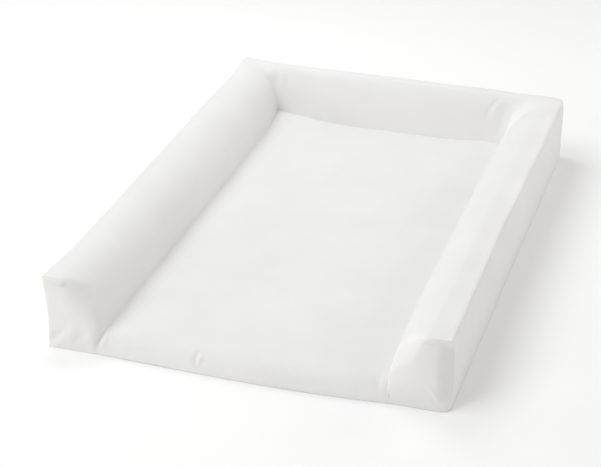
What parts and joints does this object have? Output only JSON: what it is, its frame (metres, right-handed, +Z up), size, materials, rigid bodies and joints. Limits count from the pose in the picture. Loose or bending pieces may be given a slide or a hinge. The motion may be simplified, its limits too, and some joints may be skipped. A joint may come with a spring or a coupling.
{
  "type": "changing pad",
  "caption": "Rectangular foam changing pad with a raised bolster along both sides and the head, an open front, and a sewn fabric cover with a zip at the head.",
  "frame": {"origin": "centre of the pad's footprint, on its underside; the zip's slider and pull tab stand 5 mm outside that footprint at the head", "axes": "+Z up, +Y from the open front towards the head end, +X to the right seen from the front"},
  "size_m": [0.48, 0.7449, 0.092],
  "materials": {
    "cover_fabric": "matt, smooth fine plain weave",
    "base_fabric": "matt plain weave",
    "foam": "open-cell polyurethane foam",
    "zip_tape": "woven tape",
    "zip_teeth": "moulded, satin",
    "zip_metal": "white lacquered zinc casting",
    "label_fabric": "satin ribbon, blank"
  },
  "bodies": {
    "pad": {"cover_lying_panel": "cover_fabric", "cover_left_bolster": "cover_fabric", "cover_right_bolster": "cover_fabric", "cover_head_bolster": "cover_fabric", "cover_left_wall": "cover_fabric", "cover_right_wall": "cover_fabric", "cover_left_end_cap": "cover_fabric", "cover_right_end_cap": "cover_fabric", "cover_head_wall_upper": "cover_fabric", "cover_head_wall_lower": "cover_fabric", "zip_end_tab_left": "cover_fabric", "zip_end_tab_right": "cover_fabric", "cover_bottom_panel": "base_fabric", "foam_base_slab": "foam", "foam_left_bolster": "foam", "foam_right_bolster": "foam", "foam_head_bolster": "foam", "zip_tape_upper": "zip_tape", "zip_tape_lower": "zip_tape", "zip_teeth_upper": "zip_teeth", "zip_teeth_lower": "zip_teeth", "zip_bottom_stop": "zip_metal", "zip_top_stop_upper": "zip_metal", "zip_top_stop_lower": "zip_metal", "care_label": "label_fabric"},
    "slider": {"zip_slider": "zip_metal"},
    "pull_tab": {"zip_pull_tab": "zip_metal"}
  },
  "joints": [
    {"name": "zip_slide", "type": "slide", "parent": "pad", "child": "slider", "axis": [-1, 0, 0], "range_m": [0, 0.414]},
    {"name": "pull_tab_hinge", "type": "hinge", "parent": "slider", "child": "pull_tab", "pos_m": [0.2074, 0.373, 0.026], "axis": [0, 0, -1], "range_deg": [0, 170]}
  ]
}
